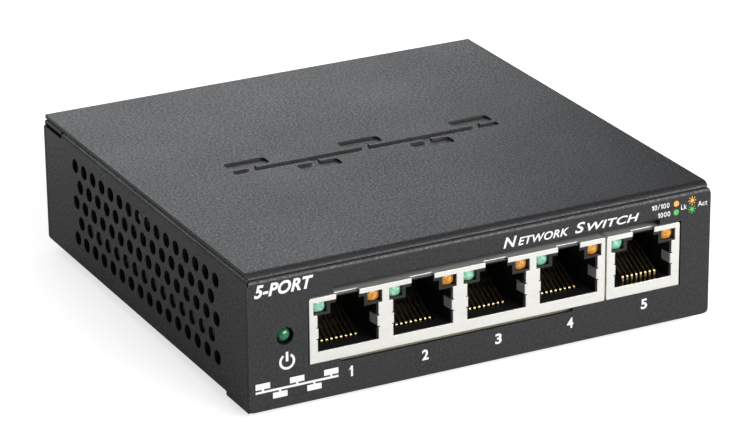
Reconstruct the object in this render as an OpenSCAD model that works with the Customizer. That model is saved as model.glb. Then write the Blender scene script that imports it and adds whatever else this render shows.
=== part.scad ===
// Desktop network switch: a folded steel case with a lift-off cover, five ports and one board.
// Millimetres, +Z up. The front panel faces -Y. The part stands on four feet at Z = 0.

/* [Case] */
// Width of the case, side to side
body_width = 100; // [96:1:140]
// Depth of the case, front panel to rear panel
body_depth = 98; // [92:1:140]
// Height of the case without its feet
body_height = 28; // [26:0.5:40]
// Thickness of the folded steel sheet
sheet = 0.8; // [0.6:0.1:1.2]
// Inside radius of the two long bottom bends
side_bend = 0.65; // [0.3:0.05:2]
// Inside radius of every other bend of the tray
small_bend = 0.15; // [0.1:0.05:0.6]
// Width of the lips turned in along the front and the sides
side_lip = 5; // [3:0.5:8]
// Width of the lip turned in along the rear
rear_lip = 9; // [7:0.5:12]
// Gap between the lips and the cover
cover_gap = 0.2; // [0.1:0.05:0.5]
// Length of the plain side skirts, back from the front panel
skirt_length = 10.5; // [6:0.5:20]

/* [Cover] */
// How far the cover stops short of each side
cover_inset = 0.45; // [0.2:0.05:1]
// Radius of the cover's rolled front edge
cover_edge = 1.8; // [1:0.1:3]
// How far the rolled edge reaches below the plate
cover_edge_drop = 0.1; // [0:0.05:0.15]
// Width of each rear bracket under the cover
bracket_width = 12; // [8:0.5:18]
// Distance from the centre line to each cover screw
cover_screw_x = 38; // [32:0.5:43]
// Depth of the mark pressed into the cover
mark_depth = 0.45; // [0.1:0.05:0.5]
// Length of the mark pressed into the cover
mark_length = 59.4; // [40:0.2:80]

/* [Vents] */
// Diameter of each vent hole
vent_d = 3; // [2:0.1:3.4]
// Distance between vent holes along a row
vent_pitch = 4.5; // [4:0.1:8]
// Distance between vent rows
vent_row_pitch = 3.95; // [3.5:0.05:8]
// Distance from the front panel to the first vent hole
vent_front = 14.1; // [12:0.1:25]
// Least distance from the last vent hole to the rear panel
vent_rear = 15; // [12:0.5:30]
// Height of the lowest vent row above the case bottom
vent_low = 6.4; // [4.5:0.1:10]
// Least distance from the top vent row to the cover top
vent_high = 4.5; // [4:0.1:10]

/* [Feet and wall slots] */
// Diameter of each rubber foot
foot_d = 9; // [6:0.5:14]
// Height of each rubber foot
foot_height = 1.5; // [1:0.1:4]
// Distance from the case sides to a foot's centre
foot_inset = 10; // [8:0.5:20]
// Distance between the two keyhole slots
keyhole_spacing = 60; // [40:1:70]
// Diameter of the keyhole's round end
keyhole_head = 7; // [5.5:0.1:9]
// Width of the keyhole's narrow end
keyhole_slot = 3.6; // [3:0.1:4.5]
// Travel from the round end to the narrow end
keyhole_travel = 6; // [5.5:0.5:10]

/* [Ports] */
// Distance between port centres in the block of four
port_pitch = 15.85; // [15.5:0.05:20]
// Width of each port opening in the shield
port_opening = 12.8; // [12.4:0.1:13.2]
// Width of shield beside the outer openings of the block
block_band = 1.65; // [1.2:0.05:2.5]
// Width of shield beside the single port's opening
single_band = 1.8; // [1.2:0.05:2.5]
// Gap between the two shields
shield_gap = 0.4; // [0.2:0.05:1]
// Distance from the single port's shield to the case side
port_margin = 7; // [6:0.5:20]
// Height of the shields above the board
shield_height = 13.2; // [13:0.1:14.5]
// Depth of the shields
shield_depth = 21.6; // [18:0.1:24]
// Thickness of the tinned shield sheet
shield_sheet = 0.25; // [0.2:0.05:0.3]
// Depth of the plug space behind the front
cavity_depth = 14.5; // [13:0.1:16]
// Distance between contact wires
contact_pitch = 1.02; // [1:0.01:1.05]
// Angle of the contact wires above the floor
contact_rise = 27; // [22:1:32]

/* [Board] */
// Thickness of the circuit board
board_sheet = 1.6; // [1:0.1:2]
// Height of the standoffs under the board
standoff_height = 5.4; // [4:0.1:8]
// Gap between the board and the side walls
board_side_gap = 2.7; // [1:0.1:5]
// Gap between the board and the front and rear panels
board_end_gap = 0.7; // [0.5:0.1:3]
// Thread diameter of every screw
screw_d = 3; // [2.5:0.5:3]
// Height of the rear screw heads
head_height = 1.9; // [1.2:0.1:2.5]

/* [Power] */
// Distance from the case side to the power lamp
lamp_inset = 7.5; // [6:0.1:9]
// Height of the power lamp above the board
lamp_rise = 6.9; // [5:0.1:10]
// Diameter of the power lamp
lamp_d = 3; // [2:0.1:3.4]
// Distance from the centre line to the power inlet
jack_x = 22; // [14:0.5:26]
// Bore of the power inlet
jack_bore = 6.4; // [6:0.1:6.8]
// Diameter of the power inlet's centre pin
jack_pin_d = 2; // [1.6:0.1:2.5]

/* [Hidden] */
$fn = 48;

// A hair past a surface, so that cuts go right through
past = 1;
// Running gap between a screw and its tapped hole
thread_gap = 0.025;
// Gap round a piece that passes through a panel
panel_gap = 0.3;
// Number of ports in the block
block_ports = 4;

// The part is centred on the origin, screw heads included
front_y = -(body_depth + head_height) / 2;
half_width = body_width / 2;
floor_top = sheet;
wall_inside = half_width - sheet;
rear_inside = body_depth - sheet;
lip_top = body_height - sheet - cover_gap;
lip_under = lip_top - sheet;
// The rear lip stands nearer to the cover than the others
rear_lip_gap = 0.05;
rear_lip_top = body_height - sheet - rear_lip_gap;
// The side walls stop lower beside the rear lip
rear_notch_drop = 1.3;
rear_notch_z = lip_top - rear_notch_drop;
rear_notch_y = body_depth - rear_lip - 0.5;
// The cover's front edge stops short of the panel's face
cover_set_back = 0.25;

board_low = floor_top + standoff_height;
board_top = board_low + board_sheet;
board_front = sheet + board_end_gap;
board_rear = rear_inside - board_end_gap;
board_half = wall_inside - board_side_gap;
board_hole = screw_d + 0.4;
board_screw_x = board_half - 4.5;
board_screw_front = 41;
board_screw_rear = board_rear - 6;
board_screw_y = [board_screw_front, board_screw_rear];

// Shields, from the right side of the case inwards
single_right = half_width - port_margin;
single_width = port_opening + 2 * single_band;
single_left = single_right - single_width;
block_right = single_left - shield_gap;
block_width = (block_ports - 1) * port_pitch + port_opening + 2 * block_band;
block_left = block_right - block_width;
block_first = block_left + block_band + port_opening / 2;
port_x = [for (i = [0 : block_ports - 1]) block_first + i * port_pitch,
    single_left + single_width / 2];

// Port opening, measured up from the board
sill = 2.2;
opening_top = 9.65;
window_top = 12.2;
window_half = port_opening / 2 + 0.8;
latch_half = 2.45;
housing_gap = 0.05;
housing_top = shield_height - shield_sheet - housing_gap;
housing_front = shield_sheet + housing_gap;
cavity_half = port_opening / 2 - 0.3;
step_half = 3.55;
step_top = 11.45;
latch_top = housing_top - 0.25;
latch_depth = 9;
link_lamp_x = 5.65;
link_lamp_width = 2.7;
link_lamp_height = 2.1;
link_lamp_z = 11.05;
link_lamp_gap = 0.05;
link_lamp_depth = 9;
tab_low = 4.9;
tab_high = 6.95;
tab_length = 2.9;
tab_slit = 0.25;

// Contact wires
contacts = 8;
contact_width = 0.4;
contact_sheet = 0.3;
contact_length = 7.6;
contact_root_y = 4.6;
contact_root_z = 2.1;
single_root_y = 2.1;
single_root_z = 3.1;
well_half = 4.3;
well_front = 3.5;
well_back = 12.6;
well_floor = 0.9;
single_well_half = 4.15;

// Front panel openings
aperture_gap = 0.35;
aperture_low = board_top - 0.1;
aperture_high = board_top + shield_height + 0.25;
low_relief = 0.8;
flange_gap = 1;
flange_bend = 0.25;
flange_depth = 3;

// Power lamp
lamp_x = -half_width + lamp_inset;
lamp_z = board_top + lamp_rise;
lamp_body = 3.7;
lamp_rim_d = lamp_d + 0.8;
lamp_rim = 1;

// Power inlet
jack_width = 9;
jack_height = 11;
jack_depth = 14.3;
jack_set_back = 0.3;
jack_face = body_depth - jack_set_back;
jack_axis = board_top + 6.3;
jack_bore_depth = 9.8;
jack_pin_length = 8.8;
jack_spring_length = 8.6;
jack_spring_width = 3;
jack_spring_sheet = 0.3;
jack_spring_reach = 0.35;
jack_slot_gap = 0.35;

// Cover screws and brackets
cover_screw_z = body_height - 6;
bracket_gap = 0.15;
bracket_face = rear_inside - bracket_gap;
bracket_drop = cover_screw_z - 3.5;
bracket_leg = 8;
bracket_clear = 0.5;
screw_slot = screw_d + 0.5;
head_d = 1.85 * screw_d;
head_gap = 0.05;
shank_length = 6;
ground_x = -14;
ground_z = 12.5;
lock_x = -27;
lock_z = 12.5;
lock_width = 7;
lock_height = 3;

// Parts on the board
transformer_size = [11.4, 7.6, 6.2];
transformer_y = 30;
chip_x = -4;
chip_y = 57;
chip_size = 14;
chip_height = 1.4;
pad_height = 0.5;
sink_height = 8;
sink_base = 1.6;
sink_fins = 6;
sink_fin = 1;

module in_case() {
    translate([0, front_y, foot_height]) children();
}

module on_board(x, y) {
    in_case() translate([x, y, board_top]) children();
}

// Piece left at a square corner when a round of radius r is taken off it
module corner_waste(r) {
    difference() {
        translate([-past, -past]) square(r + past);
        translate([r, r]) circle(r);
    }
}

// Rectangle from the origin with its own radius at the two low and the two high corners
module rounded_rectangle(width, height, low_r, high_r) {
    difference() {
        square([width, height]);
        corner_waste(low_r);
        translate([width, 0]) mirror([1, 0]) corner_waste(low_r);
        translate([0, height]) mirror([0, 1]) corner_waste(high_r);
        translate([width, height]) mirror([1, 0]) mirror([0, 1]) corner_waste(high_r);
    }
}

// Outline in X and Z, carried along Y from y0 for a length
module along_y(y0, length) {
    translate([0, y0 + length, 0]) rotate([90, 0, 0]) linear_extrude(length) children();
}

// Outline in Y and Z, carried along X from x0 for a length
module along_x(x0, length) {
    translate([x0, 0, 0]) rotate([90, 0, 90]) linear_extrude(length) children();
}

module round_box(shrink, low_side, low_end, high) {
    intersection() {
        along_y(-past, body_depth + 2 * past)
            translate([-half_width + shrink, shrink])
                rounded_rectangle(body_width - 2 * shrink, lip_top - 2 * shrink, low_side, high);
        along_x(-half_width - past, body_width + 2 * past)
            translate([shrink, shrink])
                rounded_rectangle(body_depth - 2 * shrink, lip_top - 2 * shrink, low_end, high);
    }
}

module tray_shell() {
    difference() {
        round_box(0, side_bend + sheet, small_bend + sheet, small_bend + sheet);
        round_box(sheet, side_bend, small_bend, small_bend);
        translate([-half_width + side_lip, side_lip, lip_under - past])
            cube([body_width - 2 * side_lip, body_depth, sheet + 2 * past]);
        translate([-half_width - past, rear_notch_y, rear_notch_z])
            cube([body_width + 2 * past, body_depth, body_height]);
    }
}

// Rear wall's upper edge with its lip, a little narrower than the case
module rear_top() {
    inset = 0.3;
    bend = small_bend + sheet;
    along_x(-half_width + inset, body_width - 2 * inset)
        intersection() {
            difference() {
                translate([0, 0]) square([body_depth, rear_lip_top]);
                translate([body_depth, rear_lip_top]) mirror([1, 0]) mirror([0, 1])
                    corner_waste(bend);
                difference() {
                    translate([-past, -past]) square([rear_inside + past, rear_lip_top - sheet + past]);
                    translate([rear_inside, rear_lip_top - sheet]) mirror([1, 0]) mirror([0, 1])
                        corner_waste(small_bend);
                }
            }
            translate([body_depth - rear_lip, rear_notch_z - 2])
                square([rear_lip + past, body_height]);
        }
}

// Side walls run straight down past the bottom bend at the front corners
module front_skirts() {
    for (side = [-1, 1])
        translate([side * (half_width - sheet / 2) - sheet / 2, sheet, 0.1])
            cube([sheet, skirt_length - sheet, side_bend + 2 * sheet]);
}

// Panel edge over the ports, rolled inwards
module port_flange() {
    bend = flange_bend + sheet;
    low = board_top + shield_height + flange_gap;
    along_x(block_left + 5, single_right - 4.5 - block_left - 5)
        difference() {
            translate([0, low]) square([flange_depth, bend]);
            translate([0, low]) corner_waste(bend);
            difference() {
                translate([sheet, low + sheet]) square([flange_depth, bend]);
                translate([sheet, low + sheet]) corner_waste(flange_bend);
            }
        }
}

module port_aperture() {
    low = board_top + shield_height + flange_gap + flange_bend + sheet;
    along_y(-past, sheet + 2 * past) {
        translate([block_left - aperture_gap, aperture_low])
            square([single_right - block_left + 2 * aperture_gap, aperture_high - aperture_low]);
        translate([block_left + 6.4, aperture_low + 0.1 - low_relief])
            square([block_width - 13.4, low_relief]);
        translate([block_left + 5, aperture_high - past])
            square([single_right - 4.5 - block_left - 5, low - aperture_high + past]);
    }
}

module vent_holes() {
    rows = floor((body_height - vent_low - vent_high) / vent_row_pitch) + 1;
    columns = floor((body_depth - vent_front - vent_rear) / vent_pitch) + 1;
    for (row = [0 : rows - 1])
        for (column = [0 : columns - 1 - row % 2])
            translate([-half_width - past, vent_front + (column + (row % 2) / 2) * vent_pitch,
                vent_low + row * vent_row_pitch])
                rotate([0, 90, 0]) cylinder(d = vent_d, h = body_width + 2 * past);
}

module keyholes() {
    for (side = [-1, 1])
        translate([side * keyhole_spacing / 2, body_depth / 2, -past]) {
            translate([0, -keyhole_travel, 0]) cylinder(d = keyhole_head, h = sheet + 2 * past);
            cylinder(d = keyhole_slot, h = sheet + 2 * past);
            translate([-keyhole_slot / 2, -keyhole_travel, 0])
                cube([keyhole_slot, keyhole_travel, sheet + 2 * past]);
        }
}

module rear_cuts() {
    // Windows in the lip for the cover brackets, with open slots for the screws
    window = bracket_width + 2 * bracket_clear;
    for (side = [-1, 1])
        translate([side * cover_screw_x, 0, 0]) {
            translate([-window / 2, body_depth - rear_lip - past, rear_notch_z - 0.6])
                cube([window, rear_lip + 2 * past, body_height]);
            translate([-screw_slot / 2, rear_inside - past, cover_screw_z])
                cube([screw_slot, sheet + 2 * past, body_height]);
            translate([0, rear_inside - past, cover_screw_z]) rotate([-90, 0, 0])
                cylinder(d = screw_slot, h = sheet + 2 * past);
        }
    translate([ground_x, rear_inside - past, ground_z]) rotate([-90, 0, 0])
        cylinder(d = screw_d + 2 * thread_gap, h = sheet + 2 * past);
    along_y(rear_inside - past, sheet + 2 * past) {
        translate([jack_x - jack_width / 2 - panel_gap, board_top - panel_gap])
            square([jack_width + 2 * panel_gap, jack_height + 2 * panel_gap]);
        translate([lock_x - lock_width / 2, lock_z - lock_height / 2])
            rounded_rectangle(lock_width, lock_height, 0.8, 0.8);
    }
}

// Thin seams where the folded walls meet at the corners
module corner_seams() {
    seam = 0.15;
    for (side = [-1, 1]) {
        for (y = [sheet, rear_inside - seam])
            translate([side * (half_width - sheet / 2) - sheet / 2 - 0.01, y, side_bend + sheet])
                cube([sheet + 0.02, seam, lip_under - side_bend - 2 * sheet]);
        translate([side * half_width, 0, lip_under - 0.3]) rotate([0, 0, side * 45])
            translate([-seam, 0, 0]) cube([2 * seam, side_lip * 1.6, sheet + past]);
    }
}

module base_tray() {
    color("#3b3c3e") in_case() difference() {
        union() {
            difference() {
                union() {
                    tray_shell();
                    rear_top();
                    front_skirts();
                }
                port_aperture();
            }
            port_flange();
        }
        vent_holes();
        keyholes();
        rear_cuts();
        corner_seams();
        translate([lamp_x, -past, lamp_z]) rotate([-90, 0, 0])
            cylinder(d = lamp_d + 2 * panel_gap, h = sheet + 2 * past);
    }
}

// Five boxes on one line, pressed into the cover
module network_mark() {
    line = 1.8;
    box = [9, 3.4];
    drop = 1.1;
    gap = (mark_length - box[0]) / 4;
    translate([-mark_length / 2, -line / 2]) square([mark_length, line]);
    for (i = [0 : 4]) {
        up = i % 2 == 0 ? 1 : -1;
        translate([-mark_length / 2 + box[0] / 2 + i * gap, up * (line / 2 + drop / 2)]) {
            square([line, drop + 0.2], center = true);
            translate([-box[0] / 2, up * (drop / 2 + box[1] / 2) - box[1] / 2])
                rounded_rectangle(box[0], box[1], 0.9, 0.9);
        }
    }
}

module top_cover() {
    plate_front = cover_set_back + cover_edge;
    width = body_width - 2 * cover_inset;
    edge_height = sheet + cover_edge_drop;
    color("#48494b") in_case() difference() {
        union() {
            translate([-width / 2, plate_front, body_height - sheet])
                cube([width, body_depth - plate_front, sheet]);
            along_x(-width / 2, width)
                translate([plate_front, body_height - cover_edge])
                    intersection() {
                        circle(cover_edge);
                        translate([-cover_edge, cover_edge - edge_height])
                            square([cover_edge, edge_height]);
                    }
        }
        translate([0, body_depth / 2, body_height - mark_depth])
            linear_extrude(mark_depth + past) network_mark();
    }
}

module cover_bracket(side) {
    color("#b9bcc0") in_case() translate([side * cover_screw_x, 0, 0]) difference() {
        union() {
            translate([-bracket_width / 2, bracket_face - sheet, bracket_drop])
                cube([bracket_width, sheet, body_height - sheet - bracket_drop]);
            translate([-bracket_width / 2, bracket_face - bracket_leg, body_height - 2 * sheet])
                cube([bracket_width, bracket_leg, sheet]);
        }
        translate([0, bracket_face - sheet - past, cover_screw_z]) rotate([-90, 0, 0])
            cylinder(d = screw_d + 2 * thread_gap, h = sheet + 2 * past);
    }
}

// Pan head screw along -Z from the origin, head above
module pan_screw(head, length) {
    difference() {
        union() {
            cylinder(d = head_d, h = head * 0.55);
            translate([0, 0, head * 0.55]) cylinder(d1 = head_d, d2 = head_d * 0.62, h = head * 0.45);
            translate([0, 0, -length]) cylinder(d = screw_d, h = length);
        }
        for (turn = [0, 90])
            rotate([0, 0, turn]) translate([-head_d * 0.27, -0.3, head * 0.45])
                cube([head_d * 0.54, 0.6, head]);
    }
}

module rear_screw(x, z, gap) {
    in_case() translate([x, body_depth + gap, z]) rotate([-90, 0, 0])
        pan_screw(head_height - gap, shank_length);
}

module cover_screws() {
    color("#c6c8ca") for (side = [-1, 1])
        rear_screw(side * cover_screw_x, cover_screw_z, head_gap);
}

module ground_screw() {
    color("#c9b36a") rear_screw(ground_x, ground_z, 0);
}

module circuit_board() {
    color("#1d5a3a") in_case() difference() {
        translate([0, 0, board_low]) linear_extrude(board_sheet)
            translate([-board_half, board_front])
                rounded_rectangle(2 * board_half, board_rear - board_front, 1.5, 1.5);
        for (side = [-1, 1])
            for (y = board_screw_y)
                translate([side * board_screw_x, y, board_low - past])
                    cylinder(d = board_hole, h = board_sheet + 2 * past);
    }
}

module board_standoffs() {
    color("#b7b9bb") in_case() for (side = [-1, 1])
        for (y = board_screw_y)
            translate([side * board_screw_x, y, floor_top]) difference() {
                cylinder(d = 6.4, h = standoff_height, $fn = 6);
                translate([0, 0, 0.6])
                    cylinder(d = screw_d + 2 * thread_gap, h = standoff_height);
            }
}

module board_screws() {
    color("#c6c8ca") in_case() for (side = [-1, 1])
        for (y = board_screw_y)
            translate([side * board_screw_x, y, board_top]) pan_screw(1.6, board_sheet + 3);
}

// Opening of one port in its shield, X across and Z up from the board
module shield_opening() {
    half = port_opening / 2;
    translate([-half, sill]) square([2 * half, opening_top - sill + 0.5]);
    translate([-window_half, opening_top]) square([2 * window_half, window_top - opening_top]);
    translate([-latch_half, window_top - 0.5]) square([2 * latch_half, shield_height]);
    for (z = [tab_low - tab_slit, tab_high])
        translate([-half - tab_slit, z]) square([2 * half + 2 * tab_slit, tab_slit]);
}

// Spring tab bent back along the side of the opening
module shield_tab(side) {
    edge = port_opening / 2;
    lean = 0.22;
    translate([0, 0, tab_low]) linear_extrude(tab_high - tab_low)
        polygon([[side * edge, 0], [side * edge, shield_sheet], [side * (edge - 0.02), 0.6],
            [side * (edge - lean), tab_length], [side * (edge - lean - shield_sheet), tab_length],
            [side * (edge - shield_sheet), 0.6], [side * (edge - shield_sheet), 0.12],
            [side * (edge - 0.12), 0]]);
}

module port_shield(left, width, centres) {
    color("#dcdad4") on_board(0, 0) {
        difference() {
            along_y(0, shield_depth) translate([left, 0])
                rounded_rectangle(width, shield_height, 0.05, 0.35);
            translate([left + shield_sheet, shield_sheet, -past])
                cube([width - 2 * shield_sheet, shield_depth - 2 * shield_sheet,
                    shield_height - shield_sheet + past]);
            for (x = centres)
                translate([x, 0, 0]) {
                    along_y(-past, shield_sheet + past) shield_opening();
                    translate([-latch_half, -past, shield_height - shield_sheet - past])
                        cube([2 * latch_half, past + 0.9, shield_sheet + 2 * past]);
                }
        }
        for (x = centres)
            for (side = [-1, 1])
                translate([x, 0, 0]) shield_tab(side);
    }
}

module port_cavity(x, well_y, well) {
    translate([x, 0, 0]) {
        translate([-cavity_half, -past, sill])
            cube([2 * cavity_half, cavity_depth + past, opening_top - 0.2 - sill]);
        translate([-step_half, -past, sill + 1])
            cube([2 * step_half, cavity_depth + past, step_top - sill - 1]);
        translate([-latch_half + 0.05, -past, step_top - past])
            cube([2 * latch_half - 0.1, latch_depth + past, latch_top - step_top + past]);
        translate([-well, well_y, well_floor])
            cube([2 * well, well_back - well_y, sill - well_floor + past]);
        for (side = [-1, 1]) {
            translate([side * link_lamp_x - link_lamp_width / 2 - link_lamp_gap, -past,
                link_lamp_z - link_lamp_height / 2 - link_lamp_gap])
                cube([link_lamp_width + 2 * link_lamp_gap, link_lamp_depth + past + 1,
                    link_lamp_height + 2 * link_lamp_gap]);
            translate([side * (port_opening / 2) - 0.5, -past, tab_low - tab_slit])
                cube([1, tab_length + 0.4 + past, tab_high - tab_low + 2 * tab_slit]);
        }
    }
}

module port_housing(left, width) {
    inset = shield_sheet + housing_gap;
    color("#2b2c2e") on_board(0, 0) difference() {
        translate([left + inset, housing_front, 0])
            cube([width - 2 * inset, shield_depth - 2 * inset, housing_top]);
        children();
    }
}

module port_housing_1_to_4() {
    port_housing(block_left, block_width)
        for (i = [0 : block_ports - 1]) port_cavity(port_x[i], well_front, well_half);
}

module port_housing_5() {
    port_housing(single_left, single_width)
        port_cavity(port_x[block_ports], -past, single_well_half);
}

// One wire in Y and Z from the middle of its front bend
module contact_outline(leg) {
    middle = 0.45;
    outer = middle + contact_sheet / 2;
    inner = middle - contact_sheet / 2;
    rotate(contact_rise) {
        translate([0, inner]) square([contact_length, contact_sheet]);
        translate([contact_length, outer]) rotate(-38) translate([0, -contact_sheet])
            square([1.1, contact_sheet]);
    }
    intersection() {
        difference() {
            circle(outer);
            circle(inner);
        }
        polygon([[0, 0], [-3 * sin(contact_rise), 3 * cos(contact_rise)], [-3, 0], [-3, -0.01],
            [0, -0.01]]);
    }
    translate([-outer, -leg]) square([contact_sheet, leg]);
}

module port_contacts(x, y, z, leg) {
    color("#d9b35a") on_board(x, 0) for (i = [0 : contacts - 1])
        along_x((i - (contacts - 1) / 2) * contact_pitch - contact_width / 2, contact_width)
            translate([y, z]) contact_outline(leg);
}

module block_contacts(i) {
    port_contacts(port_x[i], contact_root_y, contact_root_z, 0.5);
}

module port_contacts_5() {
    port_contacts(port_x[block_ports], single_root_y, single_root_z, 1.8);
}

module link_lamp(i, side) {
    front = housing_front + 0.25;
    dome = 2.1;
    on_board(port_x[i] + side * link_lamp_x, 0) intersection() {
        translate([-link_lamp_width / 2, front, link_lamp_z - link_lamp_height / 2])
            cube([link_lamp_width, link_lamp_depth, link_lamp_height]);
        union() {
            translate([0, front + dome, link_lamp_z]) sphere(r = dome);
            translate([-link_lamp_width, front + dome - 0.9, 0])
                cube([2 * link_lamp_width, link_lamp_depth, 2 * link_lamp_z]);
        }
    }
}

module link_lamp_green(i) {
    color("#9fd9b8") link_lamp(i, -1);
}

module link_lamp_amber(i) {
    color("#dc9a33") link_lamp(i, 1);
}

module power_lamp() {
    color("#1f7a4a") in_case() translate([lamp_x, lamp_d / 2, lamp_z]) {
        sphere(d = lamp_d);
        rotate([-90, 0, 0]) cylinder(d = lamp_d, h = lamp_body + lamp_rim);
        translate([0, lamp_body, 0]) rotate([-90, 0, 0]) cylinder(d = lamp_rim_d, h = lamp_rim);
    }
}

module power_lamp_holder() {
    width = lamp_rim_d + 1;
    front = 2;
    rim_y = lamp_d / 2 + lamp_body;
    color("#1c1d1e") in_case() difference() {
        translate([lamp_x - width / 2, front, board_top])
            cube([width, rim_y + lamp_rim + 0.8 - front, lamp_rise + lamp_rim_d / 2 + 0.5]);
        translate([lamp_x, 0, lamp_z]) rotate([-90, 0, 0]) {
            cylinder(d = lamp_d + 0.1, h = 3 * rim_y);
            translate([0, 0, rim_y - 0.05]) cylinder(d = lamp_rim_d + 0.1, h = 3 * rim_y);
        }
    }
}

module jack_housing() {
    slot = jack_spring_width / 2 + jack_slot_gap;
    color("#232425") in_case() difference() {
        translate([jack_x - jack_width / 2, jack_face - jack_depth, board_top])
            cube([jack_width, jack_depth, jack_height]);
        translate([jack_x, jack_face - jack_bore_depth, jack_axis]) rotate([-90, 0, 0])
            cylinder(d = jack_bore, h = jack_bore_depth + past);
        translate([jack_x, jack_face - jack_depth - past, jack_axis]) rotate([-90, 0, 0])
            cylinder(d = jack_pin_d + 2 * thread_gap, h = jack_depth);
        translate([jack_x - slot, jack_face - 2 - jack_spring_length - jack_slot_gap,
            jack_axis - jack_bore / 2 - 1.6])
            cube([2 * slot, jack_spring_length + 2 * jack_slot_gap, jack_bore / 2]);
    }
}

module jack_pin() {
    color("#cfd0d2") in_case()
        translate([jack_x, jack_face - jack_depth + 1, jack_axis]) rotate([-90, 0, 0]) {
            root = jack_depth - 1 - jack_bore_depth;
            cylinder(d = jack_pin_d, h = root + jack_pin_length - jack_pin_d / 2);
            translate([0, 0, root + jack_pin_length - jack_pin_d / 2]) sphere(d = jack_pin_d);
        }
}

// Leaf in Y and Z that rises into the bore near its free end
module jack_spring() {
    low = -jack_bore / 2 - 0.55;
    high = -jack_bore / 2 + jack_spring_reach;
    color("#c9a860") in_case()
        translate([jack_x, jack_face - 2 - jack_spring_length, jack_axis])
            along_x(-jack_spring_width / 2, jack_spring_width)
                polygon([[0, low], [4.6, low + 0.25], [6.6, high - jack_spring_sheet],
                    [jack_spring_length, low + 0.2], [jack_spring_length, low + 0.5],
                    [6.7, high], [6.3, high], [4.4, low + 0.25 + jack_spring_sheet],
                    [0, low + jack_spring_sheet]]);
}

module port_transformer(i) {
    size = transformer_size;
    color("#1b1c1e") on_board(port_x[i], transformer_y)
        along_x(-size[0] / 2, size[0]) translate([-size[1] / 2, 0])
            rounded_rectangle(size[1], size[2], 0.2, 0.7);
}

module switch_chip() {
    color("#202124") on_board(chip_x, chip_y) linear_extrude(chip_height)
        translate([-chip_size / 2, -chip_size / 2])
            rounded_rectangle(chip_size, chip_size, 0.5, 0.5);
}

module thermal_pad() {
    side = chip_size - 2;
    color("#8fa3b5") on_board(chip_x, chip_y)
        translate([-side / 2, -side / 2, chip_height]) cube([side, side, pad_height]);
}

module heat_sink() {
    side = chip_size;
    pitch = (side - sink_fin) / (sink_fins - 1);
    color("#7e8286") on_board(chip_x, chip_y)
        translate([-side / 2, -side / 2, chip_height + pad_height]) {
            cube([side, side, sink_base]);
            for (i = [0 : sink_fins - 1])
                translate([i * pitch, 0, 0]) cube([sink_fin, side, sink_height]);
        }
}

module crystal() {
    can = [10.6, 4.6, 3.4];
    color("#c9cbcd") on_board(chip_x - 18, chip_y - 4) {
        translate([-can[0] / 2, -can[1] / 2, 0])
            linear_extrude(0.5) rounded_rectangle(can[0], can[1], 2.2, 2.2);
        translate([-can[0] / 2 + 0.5, -can[1] / 2 + 0.5, 0.5])
            linear_extrude(can[2] - 0.5)
                rounded_rectangle(can[0] - 1, can[1] - 1, 1.75, 1.75);
    }
}

// Can with a rolled groove near its base
module capacitor(d, h) {
    base = 1.4;
    groove = 0.8;
    cylinder(d = d, h = base);
    translate([0, 0, base]) cylinder(d = d - 0.7, h = groove);
    translate([0, 0, base + groove]) cylinder(d = d, h = h - base - groove - 0.4);
    translate([0, 0, h - 0.4]) cylinder(d1 = d, d2 = d - 0.8, h = 0.4);
}

module input_capacitor() {
    color("#2c3440") on_board(jack_x + 13, body_depth - 22) capacitor(8, 11.5);
}

module output_capacitor() {
    color("#2c3440") on_board(jack_x - 14, body_depth - 26) capacitor(6.3, 11);
}

module power_inductor() {
    side = 7.3;
    color("#2a2b2d") on_board(jack_x - 2, body_depth - 30) {
        translate([-side / 2, -side / 2, 0]) linear_extrude(1)
            rounded_rectangle(side, side, 1.6, 1.6);
        cylinder(d = side - 1.6, h = 3.4);
        translate([-side / 2, -side / 2, 3.2]) linear_extrude(1)
            rounded_rectangle(side, side, 1.6, 1.6);
    }
}

module small_chip() {
    translate([-2.5, -1.95, 0.1]) cube([5, 3.9, 1.5]);
}

module power_regulator() {
    color("#202124") on_board(jack_x + 9, body_depth - 32) small_chip();
}

module settings_memory() {
    color("#202124") on_board(chip_x + 17, chip_y + 6) small_chip();
}

module rubber_foot(i) {
    side = i % 2 == 0 ? -1 : 1;
    y = i < 2 ? foot_inset : body_depth - foot_inset;
    color("#17181a") in_case()
        translate([side * (half_width - foot_inset), y, -foot_height])
            cylinder(d1 = foot_d - 0.8, d2 = foot_d, h = foot_height);
}

base_tray();
top_cover();
cover_bracket(-1);  // cover_bracket_left
cover_bracket(1);  // cover_bracket_right
cover_screws();
ground_screw();
circuit_board();
board_standoffs();
board_screws();
port_shield(block_left, block_width, [for (i = [0 : block_ports - 1]) port_x[i]]);  // port_shield_1_to_4
port_shield(single_left, single_width, [port_x[block_ports]]);  // port_shield_5
port_housing_1_to_4();
port_housing_5();
block_contacts(0);  // port_contacts_1
block_contacts(1);  // port_contacts_2
block_contacts(2);  // port_contacts_3
block_contacts(3);  // port_contacts_4
port_contacts_5();
link_lamp_green(0);  // link_lamp_green_1
link_lamp_green(1);  // link_lamp_green_2
link_lamp_green(2);  // link_lamp_green_3
link_lamp_green(3);  // link_lamp_green_4
link_lamp_green(4);  // link_lamp_green_5
link_lamp_amber(0);  // link_lamp_amber_1
link_lamp_amber(1);  // link_lamp_amber_2
link_lamp_amber(2);  // link_lamp_amber_3
link_lamp_amber(3);  // link_lamp_amber_4
link_lamp_amber(4);  // link_lamp_amber_5
power_lamp();
power_lamp_holder();
jack_housing();
jack_pin();
jack_spring();
port_transformer(0);  // port_transformer_1
port_transformer(1);  // port_transformer_2
port_transformer(2);  // port_transformer_3
port_transformer(3);  // port_transformer_4
port_transformer(4);  // port_transformer_5
switch_chip();
thermal_pad();
heat_sink();
crystal();
input_capacitor();
output_capacitor();
power_inductor();
power_regulator();
settings_memory();
rubber_foot(0);  // rubber_foot_1
rubber_foot(1);  // rubber_foot_2
rubber_foot(2);  // rubber_foot_3
rubber_foot(3);  // rubber_foot_4
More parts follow.
